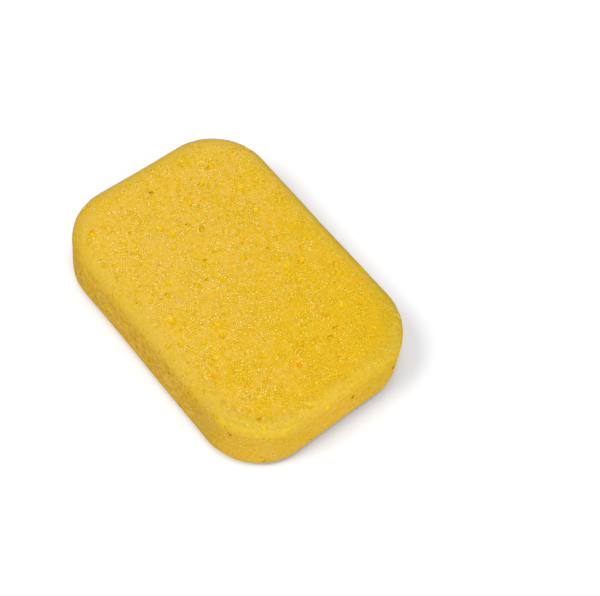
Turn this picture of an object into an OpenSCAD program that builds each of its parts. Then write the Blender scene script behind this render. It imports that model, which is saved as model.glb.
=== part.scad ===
// Cleaning sponge: one moulded block of open-cell foam. It has a rectangular
// plan with four large round corners, a soft rounded edge around the top face
// and the underside, and round pores wherever a bubble in the foam meets the skin.

/* [Block] */
// Length of the block, along X
body_l = 190; // [150:1:240]
// Width of the block, along Y
body_w = 133; // [100:1:170]
// Thickness of the block, along Z
body_h = 38; // [28:1:60]
// Radius of the four corners, seen from above
corner_r = 37; // [20:1:46]
// Radius of the rounded edge around the top face
top_edge_r = 9; // [4:0.5:12]
// Radius of the rounded edge around the underside
base_edge_r = 9; // [4:0.5:12]

/* [Pores] */
// Width of the smallest large bubble
bubble_min_d = 2.4; // [1.6:0.1:2.8]
// Width of the largest bubble
bubble_max_d = 4.6; // [3:0.1:5.5]
// Spacing of the large bubbles through the foam
bubble_pitch = 6.6; // [5.6:0.2:12]
// How far a bubble strays from its place in the pattern, as a share of the spacing
bubble_stray = 0.5; // [0:0.05:0.5]
// Share of the bubbles that open on the top face and the underside
face_fill = 0.8; // [0:0.05:1]
// Share of the bubbles that open on the sides and the rounded edges
side_fill = 0.4; // [0:0.05:1]
// Highest place of an open bubble's middle above the skin, as a share of its radius
rise_share = 0.35; // [0:0.05:0.6]
// Lowest place of an open bubble's middle below the skin, as a share of its radius
sink_share = 0.5; // [0:0.05:0.8]
// Number that picks one pattern of bubbles
bubble_seed = 4; // [1:1:50]
// Radius without pores at the middle of the top face and the underside
bare_r = 6; // [3:0.5:15]

/* [Hidden] */

FOAM_YELLOW = [0.91, 0.74, 0.23];
BLOCK_FN = 96;
BUBBLE_FN = 20;

// Distances from the middle to the centres of the corners, seen from above
straight_x = body_l / 2 - corner_r;
straight_y = body_w / 2 - corner_r;
// How far the cutter that rounds an edge reaches past the edge
overshoot = 1;
// Places of the pattern to each side of the middle, and up through the block
steps_x = ceil(body_l / 2 / bubble_pitch);
steps_y = ceil(body_w / 2 / bubble_pitch);
steps_z = ceil(body_h / bubble_pitch);

// Numbers that mix a place of the pattern into a draw from 0 to 1
MIX = [12.9898, 78.233, 37.719];
MIX_DRAW = 61.417;
MIX_GAIN = 43758.5453;
// The draws that each bubble takes
DRAW_X = 0;
DRAW_Y = 1;
DRAW_Z = 2;
DRAW_SIZE = 3;
DRAW_FILL = 4;
// Makes small bubbles more common than large ones
SIZE_POWER = 1.6;

// A draw from 0 to 1, always the same for one place
function scatter(place, draw) =
    let (wave = MIX_GAIN * sin(place * MIX + (draw + bubble_seed) * MIX_DRAW))
    wave - floor(wave);

// A draw from -1 to 1, times the stray
function stray(place, draw) = (2 * scatter(place, draw) - 1) * bubble_stray;

// Middle of the bubble at one place
function bubble_middle(place) =
    bubble_pitch * (place + [stray(place, DRAW_X), stray(place, DRAW_Y), stray(place, DRAW_Z)]);

// Radius of the bubble at one place
function bubble_r(place) =
    let (share = pow(scatter(place, DRAW_SIZE), SIZE_POWER))
    (bubble_min_d + share * (bubble_max_d - bubble_min_d)) / 2;

// How far a point lies past the centre of the nearest corner, along X and along Y
function past_corner(point) = [abs(point.x) - straight_x, abs(point.y) - straight_y];

// Distance from a point inward to the block's outline, seen from above
function inset_of(point) =
    let (past = past_corner(point))
    corner_r - norm([max(past.x, 0), max(past.y, 0)]) - min(max(past.x, past.y), 0);

// Direction from a point straight outward to the outline, in degrees from +X
function heading_of(point) =
    let (past = past_corner(point))
    min(past.x, past.y) > 0 ? atan2(sign(point.y) * past.y, sign(point.x) * past.x)
    : past.x > past.y ? 90 - 90 * sign(point.x)
    : 90 * sign(point.y);

// Radius of the rounded edge nearest to a point
function edge_r_of(point) = point.z > body_h / 2 ? top_edge_r : base_edge_r;

// Depth of a point below the block's skin, negative outside
function depth_of(point) =
    let (inset = inset_of(point), level = min(point.z, body_h - point.z), r = edge_r_of(point))
    inset < r && level < r ? r - norm([r - inset, r - level]) : min(inset, level);

// Angle between the skin's outward direction and +Z, nearest to a point
function lean_of(point) =
    let (
        inset = inset_of(point),
        level = min(point.z, body_h - point.z),
        r = edge_r_of(point),
        lean = inset < r && level < r ? atan2(r - inset, r - level) : inset < level ? 90 : 0
    )
    point.z > body_h / 2 ? lean : 180 - lean;

// Whether a bubble is near enough to the skin to open there as a pore
function is_open(middle, r) =
    let (depth = depth_of(middle))
    depth > -rise_share * r && depth < sink_share * r && norm([middle.x, middle.y]) > bare_r + r;

// Share of the bubbles that open near a point: all sides and edges have fewer
function fill_at(middle) = inset_of(middle) > edge_r_of(middle) ? face_fill : side_fill;

// What a cutter takes off a square corner to leave it rounded
module corner_trim(r) {
    difference() {
        square(r + overshoot);
        circle(r, $fn = BLOCK_FN);
    }
}

// Upright section from a flat inner side outward, with both outer corners rounded
module edge_section(reach) {
    difference() {
        square([reach, body_h]);
        translate([reach - top_edge_r, body_h - top_edge_r]) corner_trim(top_edge_r);
        translate([reach - base_edge_r, base_edge_r]) mirror([0, 1]) corner_trim(base_edge_r);
    }
}

// One quarter of the block, from the middle to one corner
module quarter_block() {
    rotate([90, 0, 90]) linear_extrude(straight_x) edge_section(body_w / 2);
    translate([straight_x, straight_y, 0]) {
        rotate([90, 0, 0]) linear_extrude(straight_y) edge_section(corner_r);
        rotate_extrude(angle = 90, $fn = BLOCK_FN) edge_section(corner_r);
    }
}

module mirrored(direction) {
    children();
    mirror(direction) children();
}

module block() {
    mirrored([1, 0, 0]) mirrored([0, 1, 0]) quarter_block();
}

// The large bubbles of the foam that the skin cuts open
module open_bubbles() {
    for (i = [-steps_x:steps_x], j = [-steps_y:steps_y], k = [0:steps_z]) {
        place = [i, j, k];
        middle = bubble_middle(place);
        r = bubble_r(place);
        if (is_open(middle, r) && scatter(place, DRAW_FILL) < fill_at(middle)) {
            translate(middle) rotate([0, lean_of(middle), heading_of(middle)]) sphere(r, $fn = BUBBLE_FN);
        }
    }
}

module sponge() {
    color(FOAM_YELLOW) difference() {
        block();
        open_bubbles();
    }
}

sponge();
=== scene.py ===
"""Cleaning sponge: one block of open-cell foam, lying on a pale studio floor."""

import math
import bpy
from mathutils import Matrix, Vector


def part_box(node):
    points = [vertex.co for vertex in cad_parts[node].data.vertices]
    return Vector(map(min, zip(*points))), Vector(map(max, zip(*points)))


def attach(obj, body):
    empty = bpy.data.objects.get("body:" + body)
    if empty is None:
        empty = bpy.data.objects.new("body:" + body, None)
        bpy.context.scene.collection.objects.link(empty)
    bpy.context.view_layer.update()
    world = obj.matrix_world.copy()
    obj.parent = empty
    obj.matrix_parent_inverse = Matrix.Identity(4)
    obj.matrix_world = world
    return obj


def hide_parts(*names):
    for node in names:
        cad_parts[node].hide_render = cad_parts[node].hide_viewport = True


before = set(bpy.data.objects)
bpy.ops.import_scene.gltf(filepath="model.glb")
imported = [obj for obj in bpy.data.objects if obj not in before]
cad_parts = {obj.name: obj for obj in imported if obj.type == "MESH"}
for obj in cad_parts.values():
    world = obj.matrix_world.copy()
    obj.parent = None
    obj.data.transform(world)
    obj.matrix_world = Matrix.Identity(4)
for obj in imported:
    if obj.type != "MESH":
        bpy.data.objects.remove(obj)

from types import SimpleNamespace

import bmesh
import bpy
import numpy as np
from mathutils import Matrix, Vector, noise

CAD_LOW, CAD_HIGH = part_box("sponge")
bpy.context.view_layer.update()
MM = 0.001

bl_info = {
    "name": "Cleaning sponge",
    "version": (1, 0, 0),
    "blender": (4, 5, 0),
    "location": "3D View > Sidebar > Sponge",
    "description": "Models a block of open-cell foam and its pale studio",
    "category": "Object",
}


# ---- Settings -------------------------------------------------------------------------------


def length(name, description, default, low=0.0, high=1.0):
    """A length in metres."""
    return bpy.props.FloatProperty(
        name=name, description=description, default=default, min=low, max=high,
        subtype="DISTANCE", unit="LENGTH",
    )


def share(name, description, default, high=1.0):
    """A share from 0 up."""
    return bpy.props.FloatProperty(
        name=name, description=description, default=default, min=0.0, max=high, subtype="FACTOR"
    )


def count(name, description, default):
    """A whole number from 1 up."""
    return bpy.props.IntProperty(name=name, description=description, default=default, min=1)


def colour(name, description, default):
    """A linear colour without alpha."""
    return bpy.props.FloatVectorProperty(
        name=name, description=description, default=default, min=0.0, max=1.0, subtype="COLOR"
    )


def angle(name, description, degrees):
    """An angle, given in degrees."""
    return bpy.props.FloatProperty(
        name=name, description=description, default=math.radians(degrees), subtype="ANGLE"
    )


class BlockSettings(bpy.types.PropertyGroup):
    """Sizes of the foam block and how unevenly it has set."""

    corner_radius: length("Corner radius", "Radius of the four corners, from above", 37 * MM)
    edge_radius: length("Edge radius", "Radius of the rounded edges, above and below", 7 * MM)
    skin_grid: length("Skin grid", "Width of the mesh squares of the skin", 2.6 * MM, 1.5 * MM)
    crown: length("Crown", "How far the middle of the top face stands proud", 0.5 * MM)
    side_waist: length("Side waist", "How far the front long side is drawn in", 1.2 * MM)
    end_waist: length("End waist", "How far the left short side is drawn in", 0.4 * MM)
    side_taper: length("Side taper", "How far the top of the long sides is drawn in", 0.9 * MM)
    end_taper: length("End taper", "How far the top of the right end is drawn in", 2.3 * MM)
    corner_lean: length("Corner lean", "How far the front right corner leans in", 2.2 * MM)
    unevenness: length("Unevenness", "Height of the slow waves in the skin", 0.35 * MM)
    wave_length: length("Wave length", "Length of the slow waves in the skin", 38 * MM)
    grain: length("Grain", "Height of the quick waves in the skin", 0.07 * MM)
    grain_length: length("Grain length", "Length of the quick waves in the skin", 5 * MM)
    wave_seed: count("Wave seed", "Picks one pattern of waves", 5)
    hollow: share("Hollow", "Depth of a pore, as a share of a round bubble's", 0.46)
    dent: share("Dent", "How far a bubble is dented, as a share of its radius", 0.65)
    # Painted bounce light: these pick the wide pores that get a painted orange bounce
    orange_bounced: share("Stained", "Share of the wide pores that are stained", 0.18)
    orange_bounced_width: length("Stained width", "Width of the smallest stained pore", 2.9 * MM)


class Bubbles:
    """Settings that both families of bubbles have."""

    stray: share("Stray", "How far a bubble strays, as a share of the spacing", 0.5)
    size_power: share("Size power", "Makes small bubbles more common than large ones", 1.6, 4.0)
    rise: share("Rise", "Highest middle above the skin, as a share of the radius", 0.35)
    sink: share("Sink", "Lowest middle below the skin, as a share of the radius", 0.5)


class LargeBubbles(Bubbles, bpy.types.PropertyGroup):
    """Bubbles that open as the solid's own pores."""

    pitch: length("Spacing", "Spacing of the bubbles through the foam", 6.6 * MM, MM)
    least_width: length("Least width", "Width of the smallest bubble", 2.4 * MM)
    most_width: length("Most width", "Width of the largest bubble", 4.6 * MM)
    face_fill: share("Face fill", "Share that opens on the top face and the underside", 0.8)
    side_fill: share("Side fill", "Share that opens on the sides and the edges", 0.4)
    roundness: count("Roundness", "How finely a bubble is meshed", 3)
    seed: count("Seed", "Picks one pattern", 4)


class MediumBubbles(Bubbles, bpy.types.PropertyGroup):
    """Bubbles that open as the pores between the large ones."""

    pitch: length("Spacing", "Spacing of the bubbles through the foam", 3.4 * MM, MM)
    least_width: length("Least width", "Width of the smallest bubble", 1.2 * MM)
    most_width: length("Most width", "Width of the largest bubble", 2.4 * MM)
    face_fill: share("Face fill", "Share that opens on the top face and the underside", 0.7)
    side_fill: share("Side fill", "Share that opens on the sides and the edges", 0.35)
    roundness: count("Roundness", "How finely a bubble is meshed", 2)
    seed: count("Seed", "Picks one pattern", 11)


class FoamSettings(bpy.types.PropertyGroup):
    """Colours of the foam, among them painted shade, painted bounce light, painted sheen and
    painted glints, and the sizes of its cells.
    """

    cell: colour("Cell", "Inside the small cells", (0.50, 0.285, 0.001))
    rich: colour("Rich", "Foam a little below the skin", (0.68, 0.405, 0.008))
    skin: colour("Skin", "Foam at the skin", (0.80, 0.497, 0.045))
    light: colour("Light", "Thin cell walls", (0.95, 0.615, 0.095))
    # Partly painted glint: the torn cell walls are paler, and their brightest specks stand in for
    # glints of light
    speck: colour("Speck", "Pale torn cell walls", (1.0, 0.80, 0.31))
    # Deepens the yellow: towards one corner, in slow patches, and as painted bounce light in the
    # open cells and faint pits
    deep_yellow: colour("Dye", "Tint where the dye is strongest", (0.975, 0.952, 0.2))
    # Painted shade and painted bounce light: the edge tint darkens the rounded edges, and the
    # side tint warms the sides
    edge: colour("Edge", "Tint of the denser foam along the edges", (0.865, 0.915, 0.97))
    side: colour("Side", "Tint of the denser foam on the sides", (0.97, 0.92, 0.96))
    # Painted shade: darkens the right-hand corners, whose rounded shoulders the lamps light
    # brightly
    corner_shade: colour("Dull", "Tint of the right-hand corners", (0.93, 0.96, 1.0))
    # Painted sheen: a pale blue added along the rounded rims
    rim_sheen: colour("Bloom", "Added along the rounded edges", (0.0, 0.0, 0.018))
    # Painted bounce light: the inside of the pores is brighter and more saturated than the foam,
    # as light bounced in them would make it
    pore: colour("Pore", "Inside the pores", (0.90, 0.585, 0.002))
    # Painted shade: the pores' right-hand walls are painted a darker brown
    wall: colour("Wall", "On the right-hand wall of the pores", (0.70, 0.37, 0.003))
    # Painted bounce light: deep, saturated orange in some wide pores, deepening with their depth
    orange_bounce: colour("Stain", "Inside the stained pores", (0.90, 0.40, 0.004))
    fine_cell: length("Fine cell", "Width of the fine cells", 0.75 * MM)
    coarse_cell: length("Coarse cell", "Width of the coarse cells", 1.3 * MM)
    pit: length("Pit", "Width of the faint pits", 3.4 * MM)
    speck_size: length("Speck size", "Width of a torn cell wall", 0.65 * MM)
    grain_size: length("Grain size", "Width of the finest light and dark grain", 0.36 * MM)
    mottle: length("Mottle", "Length of the quick changes of colour", 3 * MM)
    patch: length("Patch", "Length of the stretches with open cells", 7 * MM)
    drift: length("Drift", "Length of the slow drift of the dye", 14 * MM)
    swell: length("Swell", "Length of the soft waves in the relief", 1.6 * MM)
    relief: length("Relief", "Height of the cells' relief", 0.43 * MM)
    pitted: share("Pitted", "Share of the faint pits that stand open", 0.45)


class StudioSettings(bpy.types.PropertyGroup):
    """The floor, the lamps and the camera."""

    floor: colour("Floor", "Floor as the camera sees it", (0.95, 0.96, 0.98))
    bounce: colour("Bounce", "Floor as it lights the sponge", (0.53, 0.53, 0.53))
    lift: colour("Lift", "Glow that the camera sees on the floor", (0.07, 0.07, 0.08))
    dome: share("Dome", "Light from all round, as a share of full light", 0.42, 4.0)
    ceiling: share("Ceiling", "Light of the overhead lamp, as a share of full light", 0.26, 4.0)
    window: share("Window", "Light of the slanting lamp, as a share of full light", 0.40, 4.0)
    fill: share("Fill", "Light of the low lamp, as a share of full light", 0.50, 4.0)
    azimuth: angle("Azimuth", "Heading of the camera round the sponge", 45.52)
    elevation: angle("Elevation", "Height of the camera above the horizon", 60.15)
    roll: angle("Roll", "Turn of the camera about its own axis", 12.17)
    distance: length("Distance", "From the camera to the sponge's middle", 0.7758, 0.1, 10.0)
    aim: bpy.props.FloatVectorProperty(
        name="Aim", description="Point on the floor at the middle of the picture",
        default=(0.01756, 0.03735, 0.0), subtype="TRANSLATION", unit="LENGTH",
    )
    lens: bpy.props.FloatProperty(
        name="Lens", description="Focal length on a 36 mm sensor, in millimetres", default=79.84
    )


# ---- Bubbles in the foam --------------------------------------------------------------------

# Numbers that mix a place of the pattern into a draw from 0 to 1, as the solid's pores use them
MIX = (12.9898, 78.233, 37.719)
MIX_DRAW = 61.417
MIX_GAIN = 43758.5453
DRAW_X, DRAW_Y, DRAW_Z, DRAW_SIZE, DRAW_FILL, DRAW_ORANGE_BOUNCE = range(6)
# Half the distance over which the skin's direction is measured
PROBE = 0.01 * MM


def scatter(places, draw, seed):
    """A draw from 0 to 1 for each place, always the same for one place."""
    wave = MIX_GAIN * np.sin(np.radians(places @ np.array(MIX) + (draw + seed) * MIX_DRAW))
    return wave - np.floor(wave)


class Skin:
    """Distances to the plain rounded block, in metres."""

    def __init__(self, settings):
        self.half_x = CAD_HIGH.x - settings.corner_radius
        self.half_y = CAD_HIGH.y - settings.corner_radius
        self.corner = settings.corner_radius
        self.edge = settings.edge_radius
        self.height = CAD_HIGH.z

    def inset(self, points):
        """Distance inward to the outline, seen from above."""
        past_x = np.abs(points[:, 0]) - self.half_x
        past_y = np.abs(points[:, 1]) - self.half_y
        round_part = np.hypot(np.maximum(past_x, 0), np.maximum(past_y, 0))
        return self.corner - round_part - np.minimum(np.maximum(past_x, past_y), 0)

    def level(self, points):
        """Distance to the nearer of the top face and the underside."""
        return np.minimum(points[:, 2], self.height - points[:, 2])

    def depth(self, points):
        """Depth below the skin, negative outside."""
        inset, level = self.inset(points), self.level(points)
        in_edge = (inset < self.edge) & (level < self.edge)
        rounded = self.edge - np.hypot(self.edge - inset, self.edge - level)
        return np.where(in_edge, rounded, np.minimum(inset, level))

    def outward(self, points):
        """Direction straight out of the skin."""
        steps = np.eye(3) * PROBE
        slope = [self.depth(points - step) - self.depth(points + step) for step in steps]
        slope = np.stack(slope, -1)
        return slope / np.linalg.norm(slope, axis=1)[:, None]


def open_bubbles(skin, family):
    """Places, middles and radii of the bubbles of one family that the skin cuts open."""
    reach = [math.ceil(side / family.pitch) for side in CAD_HIGH]
    steps = [np.arange(-reach[0], reach[0] + 1), np.arange(-reach[1], reach[1] + 1)]
    places = np.meshgrid(*steps, np.arange(reach[2] + 1), indexing="ij")
    places = np.stack(places, -1).reshape(-1, 3).astype(float)
    draws = [2 * scatter(places, draw, family.seed) - 1 for draw in (DRAW_X, DRAW_Y, DRAW_Z)]
    middles = family.pitch * (places + family.stray * np.stack(draws, -1))
    size = scatter(places, DRAW_SIZE, family.seed) ** family.size_power
    radii = (family.least_width + size * (family.most_width - family.least_width)) / 2
    depth = skin.depth(middles)
    on_face = skin.inset(middles) > skin.edge
    fill = np.where(on_face, family.face_fill, family.side_fill)
    keep = (depth > -family.rise * radii) & (depth < family.sink * radii)
    keep &= scatter(places, DRAW_FILL, family.seed) < fill
    return places[keep].astype(int), middles[keep], radii[keep]


# ---- The foam block -------------------------------------------------------------------------

CORNER_SEGMENTS = 24
EDGE_SEGMENTS = 10
SMOOTH_ANGLE = math.radians(40)
# Steps of the dents' noise over one radius of a bubble
DENT_FINENESS = 0.9
# A painted orange bounce reaches this far from a bubble's middle, in radii
ORANGE_BOUNCE_REACH = 1.3
# Distances inward from the outline at which the edge band, with its painted shade, begins and is
# full
EDGE_START, EDGE_FULL = 12 * MM, 4 * MM
# Distances from the top face or the underside at which a side begins and is full
SIDE_START, SIDE_FULL = 1 * MM, 7 * MM
# How much a wall that faces left (-X) or front (-Y) counts as a pore's right-hand wall, which
# gets painted shade,
# # and what is taken off that
PORE_SHADE_FACING = (-2.4, -0.8, 0.0)
PORE_SHADE_START = 0.2
# Share of the right end's taper that is lost at the back
TAPER_LOSS = 0.7
# The front's waist at its bottom, as a share of the side waist; at its top it is 1 more
WAIST_BELOW = 0.6


def deselect_all():
    if bpy.context.object and bpy.context.object.mode != "OBJECT":
        bpy.ops.object.mode_set(mode="OBJECT")
    bpy.ops.object.select_all(action="DESELECT")


def make_active(piece):
    deselect_all()
    piece.select_set(True)
    bpy.context.view_layer.objects.active = piece


def apply_modifier(piece, modifier):
    make_active(piece)
    bpy.ops.object.modifier_apply(modifier=modifier.name)


def select_edges(piece, wanted):
    """Selects the edges for which wanted(first end, second end) is true."""
    bpy.ops.object.mode_set(mode="EDIT")
    bpy.ops.mesh.select_mode(type="EDGE")
    bpy.ops.mesh.select_all(action="DESELECT")
    shape = bmesh.from_edit_mesh(piece.data)
    for edge in shape.edges:
        edge.select_set(wanted(edge.verts[0].co, edge.verts[1].co))
    bmesh.update_edit_mesh(piece.data)


def rounded_block(settings):
    """A closed block with round corners and rounded edges, meshed in even squares."""
    size = CAD_HIGH - CAD_LOW
    deselect_all()
    bpy.ops.mesh.primitive_cube_add(size=1, location=(CAD_LOW + CAD_HIGH) / 2, scale=size)
    block = bpy.context.object
    block.name = block.data.name = "foam_block"
    bpy.ops.object.transform_apply(location=True, rotation=True, scale=True)
    select_edges(block, lambda a, b: abs(a.z - b.z) > size.z / 2)
    bpy.ops.mesh.bevel(offset=settings.corner_radius, segments=CORNER_SEGMENTS, affect="EDGES")
    select_edges(block, lambda a, b: abs(a.z - b.z) < size.z / 2)
    bpy.ops.mesh.bevel(offset=settings.edge_radius, segments=EDGE_SEGMENTS, affect="EDGES")
    bpy.ops.object.mode_set(mode="OBJECT")
    remesh = block.modifiers.new("even squares", "REMESH")
    remesh.mode = "VOXEL"
    remesh.voxel_size = settings.skin_grid
    apply_modifier(block, remesh)
    return block


def bubble_shape(roundness):
    """Corners and faces of one bubble of radius 1."""
    deselect_all()
    bpy.ops.mesh.primitive_ico_sphere_add(subdivisions=roundness, radius=1)
    ball = bpy.context.object
    corners = np.array([vertex.co[:] for vertex in ball.data.vertices])
    faces = np.array([face.vertices[:] for face in ball.data.polygons])
    bpy.data.objects.remove(ball)
    return corners, faces


def bubble_cutter(skin, middles, radii, roundness, settings):
    """One object that holds a separate, dented bubble at each middle, shallow in the skin."""
    corners, faces = bubble_shape(roundness)
    depths, outwards = skin.depth(middles), skin.outward(middles)
    points = np.empty((len(middles), len(corners), 3))
    for number, (middle, radius) in enumerate(zip(middles, radii)):
        where = Vector(middle) / (2 * radius)
        lumps = [noise.noise(where + Vector(corner) * DENT_FINENESS) for corner in corners]
        around = radius * (1 + settings.dent * np.array(lumps))[:, None] * corners
        height = around @ outwards[number] - depths[number]
        flatten = np.minimum(height, 0) * (settings.hollow - 1)
        points[number] = middle + around + flatten[:, None] * outwards[number]
    firsts = np.arange(len(middles))[:, None, None] * len(corners)
    mesh = bpy.data.meshes.new("bubbles")
    mesh.from_pydata(
        points.reshape(-1, 3).tolist(), [], (firsts + faces).reshape(-1, 3).tolist()
    )
    cutter = bpy.data.objects.new("bubbles", mesh)
    bpy.context.scene.collection.objects.link(cutter)
    return cutter


def cut_bubbles(block, skin, family, settings):
    """Cuts one family of bubbles, in eight sets in which no two bubbles meet."""
    places, middles, radii = open_bubbles(skin, family)
    sets = (places % 2) @ np.array((1, 2, 4))
    for number in range(8):
        chosen = sets == number
        if not chosen.any():
            continue
        chosen_radii = radii[chosen]
        cutter = bubble_cutter(skin, middles[chosen], chosen_radii, family.roundness, settings)
        cut = block.modifiers.new("bubbles", "BOOLEAN")
        cut.operation = "DIFFERENCE"
        cut.solver = "MANIFOLD"
        cut.object = cutter
        apply_modifier(block, cut)
        bpy.data.objects.remove(cutter)


def orange_bounced_points(points, skin, family, settings):
    """1 at the points that lie in a pore with a painted orange bounce, and 0 elsewhere."""
    places, middles, radii = open_bubbles(skin, family)
    chosen = scatter(places, DRAW_ORANGE_BOUNCE, family.seed) < settings.orange_bounced
    chosen &= radii > settings.orange_bounced_width / 2
    orange_bounced = np.zeros(len(points))
    for middle, radius in zip(middles[chosen], radii[chosen]):
        orange_bounced[np.linalg.norm(points - middle, axis=1) < ORANGE_BOUNCE_REACH * radius] = 1
    return orange_bounced


def mark_points(block, skin, family, settings):
    """Stores how deep each point lies below the plain skin, how near it is to an edge and to a
    side, how far it counts as a pore's right-hand wall, which gets painted shade, and whether
    its pore gets a painted orange bounce."""
    points = np.empty(len(block.data.vertices) * 3)
    block.data.vertices.foreach_get("co", points)
    points = points.reshape(-1, 3)
    normals = np.empty(points.size)
    block.data.vertex_normals.foreach_get("vector", normals)
    normals = normals.reshape(-1, 3)
    marks = {
        "pore_depth": skin.depth(points) / MM,
        "edge_nearness": (EDGE_START - skin.inset(points)) / (EDGE_START - EDGE_FULL),
        "side_nearness": (skin.level(points) - SIDE_START) / (SIDE_FULL - SIDE_START),
        "pore_wall_shade": normals @ np.array(PORE_SHADE_FACING) - PORE_SHADE_START,
        "orange_bounce": orange_bounced_points(points, skin, family, settings),
    }
    for name, values in marks.items():
        mark = block.data.attributes.new(name, "FLOAT", "POINT")
        mark.data.foreach_set("value", np.clip(values, 0, 1).astype(np.float32))


def rise_between(value, low, high):
    """0 below low and 1 above high, with soft ends."""
    value = min(max((value - low) / (high - low), 0.0), 1.0)
    return value * value * (3 - 2 * value)


def settle(block, settings):
    """Gives the block the crown, the drawn-in sides and the unevenness of real foam."""
    noise.seed_set(settings.wave_seed)
    for vertex in block.data.vertices:
        point = vertex.co
        # Along and across run from -1 to 1 over the block, and up runs from 0 to 1
        along, across = point.x / CAD_HIGH.x, point.y / CAD_HIGH.y
        up = point.z / CAD_HIGH.z
        front = rise_between(-across, 0, 1) * (1 - along * along)
        left = rise_between(-along, 0, 1) * (1 - across * across)
        right = max(along, 0) * (1 - TAPER_LOSS * rise_between(across, 0.3, 0.8))
        lean = settings.corner_lean * rise_between(min(along, -across), 1 / 3, 8 / 9) * up
        slow = noise.noise_vector(point / settings.wave_length) * settings.unevenness
        quick = noise.noise_vector(point / settings.grain_length) * settings.grain
        push = slow + quick
        push.x += settings.end_waist * left - settings.end_taper * right * up
        push.x -= lean
        waist = settings.side_waist * front * (WAIST_BELOW + up)
        push.y += waist - settings.side_taper * across * up
        push.y += lean
        push.z += settings.crown * (1 - along * along) * (1 - across * across)
        # The underside stays flat
        push.z *= rise_between(up, 0, 0.5)
        vertex.co = point + push


def build_sponge(scene):
    """The whole foam block, with its pores and its finish."""
    settings = scene.sponge_block
    skin = Skin(settings)
    block = rounded_block(settings)
    cut_bubbles(block, skin, scene.sponge_large, settings)
    cut_bubbles(block, skin, scene.sponge_medium, settings)
    mark_points(block, skin, scene.sponge_large, settings)
    settle(block, settings)
    make_active(block)
    bpy.ops.object.shade_smooth_by_angle(angle=SMOOTH_ANGLE)
    block.data.materials.clear()
    block.data.materials.append(foam_material(scene.sponge_foam))
    return block


# ---- Shader nodes ---------------------------------------------------------------------------


def link(tree, source, target):
    tree.links.new(source, target)


def set_input(tree, socket, value):
    """Links a socket to the input, or sets it to a number or a colour."""
    if isinstance(value, bpy.types.NodeSocket):
        link(tree, value, socket)
    elif socket.type == "RGBA":
        socket.default_value = (*value, 1.0)
    else:
        socket.default_value = value


def add_node(tree, kind, label="", **values):
    """A node with its label and its unlinked inputs set."""
    node = tree.nodes.new(kind)
    node.label = label
    for name, value in values.items():
        socket = node.inputs.get(name.replace("_", " "))
        if socket is None:
            setattr(node, name, value)
        else:
            socket.default_value = value
    return node


def maths(tree, operation, first, second=None, third=None, clamp=False):
    """A Math node; each operand is a number or a socket."""
    node = tree.nodes.new("ShaderNodeMath")
    node.operation = operation
    node.use_clamp = clamp
    for socket, value in zip(node.inputs, (first, second, third)):
        if value is not None:
            set_input(tree, socket, value)
    return node.outputs[0]


def times(tree, first, second):
    return maths(tree, "MULTIPLY", first, second)


def add_up(tree, start, parts, clamp=False):
    """A start plus each part times its weight, clamped to 0 to 1 at the end if wanted."""
    total = start
    for part, weight in parts:
        total = maths(tree, "MULTIPLY_ADD", part, weight, total)
    total.node.use_clamp = clamp
    return total


def stretch(tree, value, low, high, to_low=0.0, to_high=1.0, way="LINEAR"):
    """Maps a value from one range to another, clamped."""
    node = tree.nodes.new("ShaderNodeMapRange")
    node.interpolation_type = way
    link(tree, value, node.inputs["Value"])
    ends = {"From Min": low, "From Max": high, "To Min": to_low, "To Max": to_high}
    for name, number in ends.items():
        node.inputs[name].default_value = number
    return node.outputs["Result"]


def ease(tree, value, low, high, to_low=0.0, to_high=1.0):
    """Like stretch, with soft ends."""
    return stretch(tree, value, low, high, to_low, to_high, way="SMOOTHSTEP")


def blend(tree, amount, first, second, way="MIX"):
    """Mixes two colours, each of them a colour or a socket."""
    node = tree.nodes.new("ShaderNodeMix")
    node.data_type = "RGBA"
    node.blend_type = way
    link(tree, amount, node.inputs[0])
    set_input(tree, node.inputs[6], first)
    set_input(tree, node.inputs[7], second)
    return node.outputs[2]


def noise_at(tree, vector, size, detail=2.0):
    """Soft noise from 0 to 1, with waves of the given size."""
    node = add_node(tree, "ShaderNodeTexNoise", Scale=1.0 / size, Detail=detail)
    link(tree, vector, node.inputs["Vector"])
    return node.outputs["Fac"]


def new_group(name, inputs, outputs):
    """An empty node group with a Vector input, number inputs and number outputs."""
    group = bpy.data.node_groups.new(name, "ShaderNodeTree")
    group.interface.new_socket("Vector", in_out="INPUT", socket_type="NodeSocketVector")
    for label, value in inputs.items():
        socket = group.interface.new_socket(
            label, in_out="INPUT", socket_type="NodeSocketFloat"
        )
        socket.default_value = value
    for label in outputs:
        group.interface.new_socket(label, in_out="OUTPUT", socket_type="NodeSocketFloat")
    return group, group.nodes.new("NodeGroupInput"), group.nodes.new("NodeGroupOutput")


def place_group(tree, group, vector, **values):
    """The outputs of a node group that is placed in a tree with its own values."""
    node = tree.nodes.new("ShaderNodeGroup")
    node.node_tree = group
    link(tree, vector, node.inputs["Vector"])
    for name, value in values.items():
        set_input(tree, node.inputs[name.replace("_", " ")], value)
    return node.outputs


def scattered_dots(group, given, size, label):
    """Distance from the nearest dot of a scatter, and three draws from 0 to 1 for it."""
    dots = add_node(group, "ShaderNodeTexVoronoi", label, Randomness=1.0)
    link(group, given.outputs["Vector"], dots.inputs["Vector"])
    link(group, maths(group, "DIVIDE", size, given.outputs[1]), dots.inputs["Scale"])
    draws = add_node(group, "ShaderNodeSeparateColor", "draws for each dot")
    link(group, dots.outputs["Color"], draws.inputs["Color"])
    return dots.outputs["Distance"], draws.outputs


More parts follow.
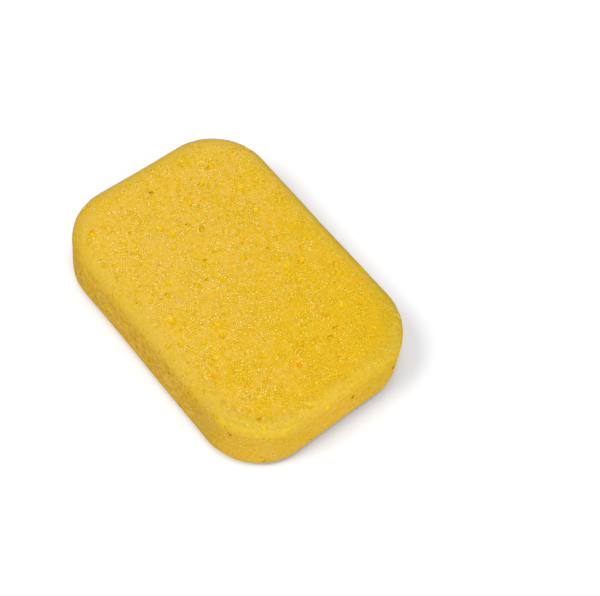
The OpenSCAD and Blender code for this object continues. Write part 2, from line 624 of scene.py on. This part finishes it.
def cells_group():
    """Small round cells: where they stand open, and the height of the skin over them."""
    inputs = {"Cell size": 1.0, "Open share": 0.4}
    group, given, result = new_group("Foam cells", inputs, ("Open", "Height"))
    distance, draws = scattered_dots(group, given, 1.0, "cells")
    chosen = maths(group, "LESS_THAN", draws["Red"], given.outputs["Open share"])
    hollow = ease(group, distance, 0.18, 0.48, 1.0, 0.0)
    opened = times(group, hollow, chosen)
    link(group, opened, result.inputs["Open"])
    # A closed cell domes up a little, and an open one sinks well below the skin
    height = maths(group, "SUBTRACT", times(group, hollow, 0.35), times(group, opened, 1.35))
    link(group, height, result.inputs["Height"])
    return group


def specks_group():
    """Specks where torn cell walls stand up, paler and with a painted glint, and a finer grain.
    """
    inputs = {"Speck size": 0.6, "Share": 0.3}
    group, given, result = new_group("Torn cell walls", inputs, ("Speck", "Grain"))
    distance, draws = scattered_dots(group, given, 0.5, "places of the specks")
    chosen = maths(group, "LESS_THAN", draws["Green"], given.outputs["Share"])
    # Each wall is a bright dot, partly a painted glint, with a slightly darker gap around it
    dot = ease(group, distance, 0.2, 0.52, 1.35, 0.0)
    gap = ease(group, distance, 0.4, 0.8, 0.35, 0.0)
    wall = maths(group, "SUBTRACT", dot, gap)
    # Faint specks are more common than bright ones
    strength = maths(group, "ADD", maths(group, "POWER", draws["Blue"], 1.5), 0.2)
    link(group, times(group, times(group, wall, chosen), strength), result.inputs["Speck"])
    either = stretch(group, draws["Red"], 0.0, 1.0, -0.8, 0.9)
    link(group, times(group, wall, either), result.inputs["Grain"])
    return group


# ---- The foam's finish ----------------------------------------------------------------------

# Where the finish changes, in millimetres from the middle of the block. The painted shade in the
# front
# # side's open cells ends between these places across it and between these along it
FRONT_SHADE_ACROSS = (-62, -54)
FRONT_SHADE_ALONG = (30, 75)
# The yellow deepens between these sums of along and across
YELLOW_DEEPENS = (-65, 140)
# Painted shade darkens the right-hand corners between these: along less across, and along plus
# across
FRONT_CORNER_SHADE = (100, 128)
BACK_CORNER_SHADE = (100, 122)


def foam_marks(tree):
    """The place on the block in millimetres, and the marks that its points carry."""
    place = add_node(tree, "ShaderNodeTexCoord", "place on the block")
    in_mm = add_node(tree, "ShaderNodeMapping", "millimetres", Scale=(1 / MM,) * 3)
    link(tree, place.outputs["Object"], in_mm.inputs["Vector"])
    axes = add_node(tree, "ShaderNodeSeparateXYZ", "along and across")
    link(tree, in_mm.outputs["Vector"], axes.inputs["Vector"])

    def mark(name):
        node = add_node(tree, "ShaderNodeAttribute", name, attribute_name=name)
        return node.outputs["Fac"]

    return SimpleNamespace(
        point=in_mm.outputs["Vector"], x=axes.outputs["X"], y=axes.outputs["Y"],
        depth=mark("pore_depth"), edge=mark("edge_nearness"), side=mark("side_nearness"),
        wall=mark("pore_wall_shade"), orange_bounce=mark("orange_bounce"),
    )


def foam_cells(tree, marks, foam):
    """The cells, specks and grain, which show in patches and less so along the edges."""
    patch = ease(tree, noise_at(tree, marks.point, foam.patch / MM), 0.42, 0.55)
    calm = stretch(tree, marks.edge, 0.0, 1.0, 1.0, 0.15)
    busy = times(tree, patch, calm)
    # Painted shade: the front side's open cells are darkened, as a raking light would shade them
    front = ease(tree, marks.y, *FRONT_SHADE_ACROSS, 1.0, 0.0)
    front = times(tree, front, ease(tree, marks.x, *FRONT_SHADE_ALONG, 1.0, 0.0))
    open_share = stretch(tree, busy, 0.0, 1.0, 0.2, 0.6)
    speck_share = stretch(tree, busy, 0.0, 1.0, 0.03, 0.34)
    strength = stretch(tree, busy, 0.0, 1.0, 0.5, 1.05)
    strength = times(tree, strength, stretch(tree, calm, 0.0, 1.0, 0.5, 1.0))
    cells, walls = cells_group(), specks_group()

    def cells_of(size, share_open):
        return place_group(tree, cells, marks.point, Cell_size=size, Open_share=share_open)

    specks = place_group(
        tree, walls, marks.point, Speck_size=foam.speck_size / MM, Share=speck_share
    )
    grain = place_group(tree, walls, marks.point, Speck_size=foam.grain_size / MM)
    mottle = noise_at(tree, marks.point, foam.mottle / MM)
    return SimpleNamespace(
        fine=cells_of(foam.fine_cell / MM, open_share),
        coarse=cells_of(foam.coarse_cell / MM, open_share),
        pits=cells_of(foam.pit / MM, foam.pitted),
        speck=specks["Speck"],
        grain=times(tree, grain["Grain"], strength),
        mottle=maths(tree, "SUBTRACT", mottle, 0.5),
        calm=calm,
        front_shade=times(tree, front, marks.side),
    )


def foam_tone(tree, cells, foam):
    """The colour from the inside of a cell up to a torn wall, with painted shade in the open
    cells, most of it on the front side.
    """
    # Painted shade in the open cells of the front side, and a little in all fine open cells
    shaded_hole = add_up(tree, cells.coarse["Open"], [(cells.mottle, 2.0)])
    shaded_hole = times(tree, shaded_hole, cells.front_shade)
    parts = [
        (cells.mottle, 0.08), (cells.grain, 1.0), (cells.speck, 1.1),
        (cells.fine["Open"], -0.06), (shaded_hole, -0.55),
    ]
    tone = add_up(tree, 0.5, parts, clamp=True)
    ramp = tree.nodes.new("ShaderNodeValToRGB")
    stops = ramp.color_ramp.elements
    stops[0].color = (*foam.cell, 1.0)
    stops[1].color = (*foam.speck, 1.0)
    for position, tint in (0.3, foam.rich), (0.5, foam.skin), (0.7, foam.light):
        stops.new(position).color = (*tint, 1.0)
    link(tree, tone, ramp.inputs["Fac"])
    return ramp.outputs["Color"]


def foam_deep_yellow(tree, marks, cells, body, foam):
    """The yellow deepens towards one corner, drifts in slow patches, and is painted deeper in the
    open cells and faint pits as bounced light.
    """
    corner = maths(tree, "ADD", marks.x, marks.y)
    corner = stretch(tree, corner, *YELLOW_DEEPENS, 0.0, 1.6)
    corner = maths(tree, "POWER", corner, 1.5)
    corner = times(tree, corner, stretch(tree, cells.calm, 0.15, 1.0, 0.35, 1.0))
    drift = noise_at(tree, marks.point, foam.drift / MM, detail=3.0)
    drift = stretch(tree, drift, 0.3, 0.7, -0.45, 0.45)
    # The open cells and faint pits get painted bounce light: their yellow is deepened
    parts = [
        (drift, 1.0), (cells.mottle, -4.0), (cells.coarse["Open"], 0.4), (cells.pits["Open"], 1.4)
    ]
    deep_yellow = add_up(tree, corner, parts, clamp=True)
    deep_yellow = add_up(tree, deep_yellow, [(cells.speck, -0.6)], clamp=True)
    return blend(tree, deep_yellow, body, foam.deep_yellow, "MULTIPLY")


def foam_pores(tree, marks, body, foam):
    """The pores get a painted bounce of brighter, saturated gold, their right-hand walls painted
    brown shade, and a few of them a painted orange bounce.
    """
    flat = maths(tree, "SUBTRACT", 1.0, marks.edge)
    shallow = times(tree, flat, ease(tree, marks.depth, 0.02, 0.12))
    inside = maths(tree, "MAXIMUM", shallow, ease(tree, marks.depth, 0.05, 0.3))
    # Painted bounce light inside the pores
    body = blend(tree, inside, body, foam.pore)
    # Painted shade on the pores' right-hand walls
    body = blend(tree, times(tree, inside, marks.wall), body, foam.wall)
    # Painted orange bounce light deep inside the chosen wide pores
    orange_bounced = times(tree, marks.orange_bounce, ease(tree, marks.depth, 0.1, 0.5))
    return blend(tree, orange_bounced, body, foam.orange_bounce)


def foam_edges(tree, marks, body, foam):
    """Painted shade darkens the rounded edges, painted bounce light warms the sides, painted
    sheen pales the rims, and painted shade dulls the right-hand corners.
    """
    # Painted shade on the rounded edges and painted warm bounce light on the sides
    edge_shade_side_bounce = blend(tree, marks.side, foam.edge, foam.side)
    body = blend(tree, marks.edge, body, edge_shade_side_bounce, "MULTIPLY")
    # Painted sheen along the rims of the top face
    rim = maths(tree, "SUBTRACT", marks.edge, marks.side, clamp=True)
    body = blend(tree, rim, body, foam.rim_sheen, "ADD")
    # Painted shade on the right-hand corners
    near = maths(tree, "SUBTRACT", marks.x, marks.y)
    near = ease(tree, near, *FRONT_CORNER_SHADE)
    near = times(tree, near, ease(tree, marks.edge, 0.0, 0.5))
    far = maths(tree, "ADD", marks.x, marks.y)
    far = ease(tree, far, *BACK_CORNER_SHADE, 0.0, 0.9)
    return blend(tree, maths(tree, "MAXIMUM", near, far), body, foam.corner_shade, "MULTIPLY")


def foam_relief(tree, marks, cells, foam):
    """The relief of the cells and the torn walls."""
    waves = noise_at(tree, marks.point, foam.swell / MM, detail=1.0)
    parts = [
        (cells.coarse["Height"], 0.3), (cells.fine["Height"], 0.35),
        (cells.pits["Height"], 0.4), (cells.speck, 0.3),
    ]
    height = add_up(tree, times(tree, waves, 0.2), parts)
    bump = add_node(tree, "ShaderNodeBump", "cell relief", Strength=1.0, Distance=foam.relief)
    link(tree, height, bump.inputs["Height"])
    return bump.outputs["Normal"]


def foam_material(foam):
    """Yellow open-cell foam: fine cells, torn pale walls with painted glints, and richer colour
    in the pores, painted as bounce light and shade.
    """
    material = bpy.data.materials.new("yellow_foam")
    material.use_nodes = True
    tree = material.node_tree
    surface = tree.nodes["Principled BSDF"]
    marks = foam_marks(tree)
    cells = foam_cells(tree, marks, foam)
    body = foam_tone(tree, cells, foam)
    body = foam_deep_yellow(tree, marks, cells, body, foam)
    body = foam_pores(tree, marks, body, foam)
    body = foam_edges(tree, marks, body, foam)
    link(tree, body, surface.inputs["Base Color"])
    link(tree, foam_relief(tree, marks, cells, foam), surface.inputs["Normal"])
    surface.inputs["Roughness"].default_value = 0.9
    surface.inputs["Specular IOR Level"].default_value = 0.2
    surface.inputs["Subsurface Weight"].default_value = 0.25
    surface.inputs["Subsurface Radius"].default_value = (1.0, 0.5, 0.1)
    surface.inputs["Subsurface Scale"].default_value = 1.5 * MM
    return material


# ---- The studio -----------------------------------------------------------------------------

FLOOR_WIDTH = 6.0
LAMP_DISTANCE = 3.0
SENSOR_WIDTH = 36


def seen_directly(tree):
    """1 where a ray comes from the camera, or by gloss or glass, and 0 for other light."""
    rays = tree.nodes.new("ShaderNodeLightPath")
    seen = maths(tree, "ADD", rays.outputs["Is Camera Ray"], rays.outputs["Is Glossy Ray"])
    return maths(tree, "ADD", seen, rays.outputs["Is Transmission Ray"], clamp=True)


def floor_material(settings):
    """White paper that keeps the sponge's shadow."""
    material = bpy.data.materials.new("white_paper")
    material.use_nodes = True
    tree = material.node_tree
    paper = tree.nodes["Principled BSDF"]
    seen = seen_directly(tree)
    link(tree, blend(tree, seen, settings.bounce, settings.floor), paper.inputs["Base Color"])
    paper.inputs["Roughness"].default_value = 1.0
    paper.inputs["Specular IOR Level"].default_value = 0.0
    glow = tree.nodes.new("ShaderNodeEmission")
    glow.inputs["Color"].default_value = (*settings.lift, 1.0)
    link(tree, seen, glow.inputs["Strength"])
    both = tree.nodes.new("ShaderNodeAddShader")
    link(tree, paper.outputs["BSDF"], both.inputs[0])
    link(tree, glow.outputs["Emission"], both.inputs[1])
    link(tree, both.outputs["Shader"], tree.nodes["Material Output"].inputs["Surface"])
    return material


def build_floor(settings):
    deselect_all()
    bpy.ops.mesh.primitive_plane_add(size=FLOOR_WIDTH, location=(0, 0, CAD_LOW.z))
    floor = bpy.context.object
    floor.name = "studio_floor"
    bpy.ops.object.transform_apply(location=True, rotation=True, scale=True)
    floor.data.materials.append(floor_material(settings))
    return floor


def build_world(strength):
    """A white dome, at full white where it is seen and weaker where it lights the sponge."""
    world = bpy.data.worlds.new("studio_dome")
    bpy.context.scene.world = world
    world.use_nodes = True
    tree = world.node_tree
    background = tree.nodes["Background"]
    background.inputs["Color"].default_value = (1, 1, 1, 1)
    power = stretch(tree, seen_directly(tree), 0.0, 1.0, strength, 1.0)
    link(tree, power, background.inputs["Strength"])


def heading(azimuth, elevation):
    """Direction away from the sponge: azimuth 0 is its front (-Y), and a right angle is +X."""
    flat = math.cos(elevation)
    return Vector((math.sin(azimuth) * flat, -math.cos(azimuth) * flat, math.sin(elevation)))


def area_lamp(name, light, size, azimuth, elevation):
    """A square lamp that looks at the sponge and gives it a share of full light."""
    back = heading(math.radians(azimuth), math.radians(elevation))
    deselect_all()
    bpy.ops.object.light_add(type="AREA", location=back * LAMP_DISTANCE)
    lamp = bpy.context.object
    lamp.name = name
    lamp.rotation_euler = (-back).to_track_quat("-Z", "Y").to_euler()
    lamp.data.energy = light * (math.pi * LAMP_DISTANCE) ** 2
    lamp.data.size = size
    return lamp


def build_lamps(settings):
    area_lamp("ceiling_lamp", settings.ceiling, size=1.1, azimuth=0, elevation=90)
    area_lamp("window_lamp", settings.window, size=1.0, azimuth=340, elevation=57)
    fill = area_lamp("fill_lamp", settings.fill, size=0.8, azimuth=80, elevation=9)
    # The fill's light doesn't bounce, so that the sponge doesn't tint the floor
    fill.data.cycles.max_bounces = 0


def build_camera(settings):
    middle = Vector((0, 0, CAD_HIGH.z / 2))
    location = middle + heading(settings.azimuth, settings.elevation) * settings.distance
    back = (location - Vector(settings.aim)).normalized()
    right = Vector((0, 0, 1)).cross(back).normalized()
    up = back.cross(right)
    rolled_right = right * math.cos(settings.roll) + up * math.sin(settings.roll)
    rolled_up = up * math.cos(settings.roll) - right * math.sin(settings.roll)
    data = bpy.data.cameras.new("studio_camera")
    data.sensor_width = SENSOR_WIDTH
    data.lens = settings.lens
    camera = bpy.data.objects.new("studio_camera", data)
    bpy.context.scene.collection.objects.link(camera)
    axes = Matrix((rolled_right, rolled_up, back)).transposed()
    camera.matrix_world = Matrix.Translation(location) @ axes.to_4x4()
    bpy.context.scene.camera = camera


# ---- Operators and panel --------------------------------------------------------------------


class SPONGE_OT_foam_block(bpy.types.Operator):
    """Model the foam block with its pores and its finish."""

    bl_idname = "sponge.foam_block"
    bl_label = "Foam block"

    def execute(self, context):
        block = build_sponge(context.scene)
        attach(block, "root")
        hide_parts("sponge")
        return {"FINISHED"}


class SPONGE_OT_studio(bpy.types.Operator):
    """Set up the floor, the lamps and the camera."""

    bl_idname = "sponge.studio"
    bl_label = "Studio"

    def execute(self, context):
        settings = context.scene.sponge_studio
        build_floor(settings)
        build_world(settings.dome)
        build_lamps(settings)
        build_camera(settings)
        context.scene.view_settings.view_transform = "Standard"
        return {"FINISHED"}


class SPONGE_PT_panel(bpy.types.Panel):
    """The sponge's operators and settings."""

    bl_label = "Cleaning sponge"
    bl_idname = "SPONGE_PT_panel"
    bl_space_type = "VIEW_3D"
    bl_region_type = "UI"
    bl_category = "Sponge"

    def draw(self, context):
        layout = self.layout
        layout.operator(SPONGE_OT_foam_block.bl_idname)
        layout.operator(SPONGE_OT_studio.bl_idname)
        for name in SETTINGS:
            settings = getattr(context.scene, name)
            layout.label(text=settings.bl_rna.name)
            for item in settings.bl_rna.properties:
                if item.identifier not in ("rna_type", "name"):
                    layout.prop(settings, item.identifier)


SETTINGS = {
    "sponge_block": BlockSettings,
    "sponge_large": LargeBubbles,
    "sponge_medium": MediumBubbles,
    "sponge_foam": FoamSettings,
    "sponge_studio": StudioSettings,
}
CLASSES = (*SETTINGS.values(), SPONGE_OT_foam_block, SPONGE_OT_studio, SPONGE_PT_panel)


def register():
    for item in CLASSES:
        bpy.utils.register_class(item)
    for name, group in SETTINGS.items():
        setattr(bpy.types.Scene, name, bpy.props.PointerProperty(type=group))


def unregister():
    for name in SETTINGS:
        delattr(bpy.types.Scene, name)
    for item in reversed(CLASSES):
        bpy.utils.unregister_class(item)


def main():
    register()
    bpy.ops.sponge.foam_block()
    bpy.ops.sponge.studio()


if __name__ == "__main__":
    main()
